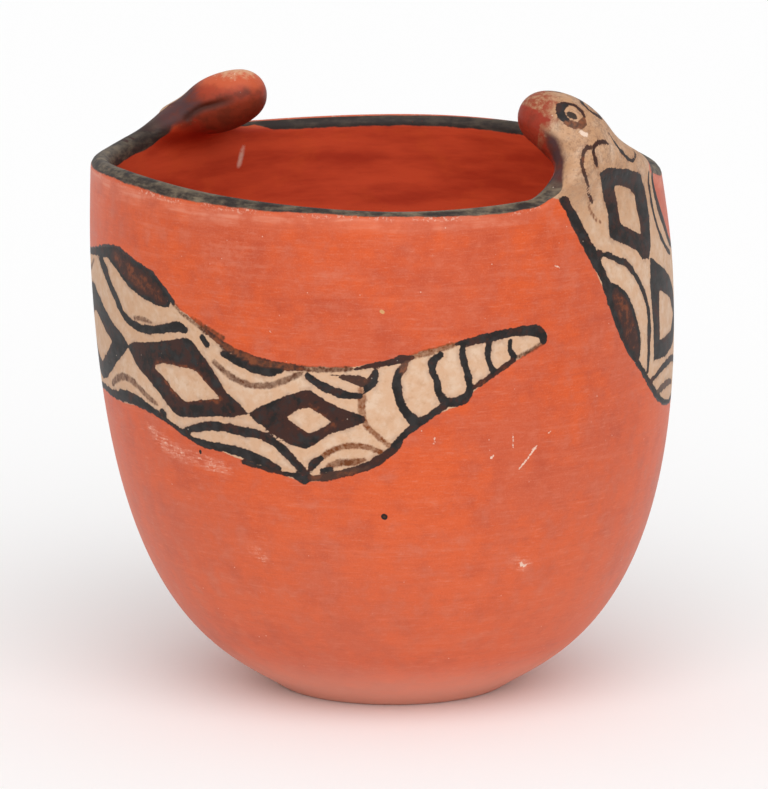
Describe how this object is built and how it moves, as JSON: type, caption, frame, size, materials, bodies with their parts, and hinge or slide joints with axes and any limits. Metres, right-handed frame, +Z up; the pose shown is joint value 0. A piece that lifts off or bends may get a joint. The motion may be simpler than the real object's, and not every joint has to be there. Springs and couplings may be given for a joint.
{
  "type": "clay jar",
  "caption": "Deep round-bottomed clay jar with an open mouth, a small flat foot and snake heads modelled in the clay, rising from the rim and leaning over the mouth.",
  "frame": {"origin": "on the ground, under the middle of the jar's bounding box, at the underside of the foot", "axes": "+Z up through the mouth; -Y faces the viewer of the picture and +X is to the viewer's right"},
  "size_m": [0.1506, 0.1498, 0.161],
  "materials": {
    "red_clay": "red slip, stone-polished to a soft sheen, with cream slip and black-brown brushwork"
  },
  "bodies": {
    "root": {"jar": "red_clay"}
  },
  "joints": []
}
